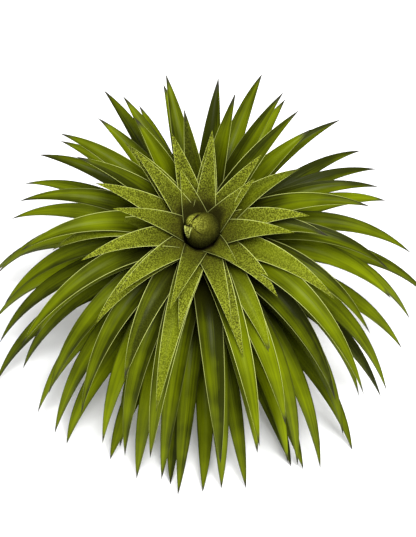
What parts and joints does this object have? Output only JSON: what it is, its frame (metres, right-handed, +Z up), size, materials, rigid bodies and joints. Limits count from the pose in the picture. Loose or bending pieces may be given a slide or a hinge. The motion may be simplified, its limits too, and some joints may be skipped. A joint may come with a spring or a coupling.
{
  "type": "air plant",
  "caption": "Ball-shaped, stemmed air plant: narrow channelled green leaves in a spiral round a leaning stem, young ones spread round a bud, old ones hanging as a skirt.",
  "frame": {"origin": "the middle of the flat foot under the root crown, on the surface that the plant stands on", "axes": "+Z up; the crown leans towards -Y, which is the side the picture looks from; +X is to the picture's right"},
  "size_m": [0.1226, 0.1013, 0.0892],
  "materials": {
    "leaf": "satin",
    "bud": "matte",
    "dry_sheath": "matte",
    "root": "matte"
  },
  "bodies": {
    "root": {"leafy_stem": "leaf", "bud": "bud", "dry_stem": "dry_sheath", "holdfast_roots": "root"}
  },
  "joints": []
}
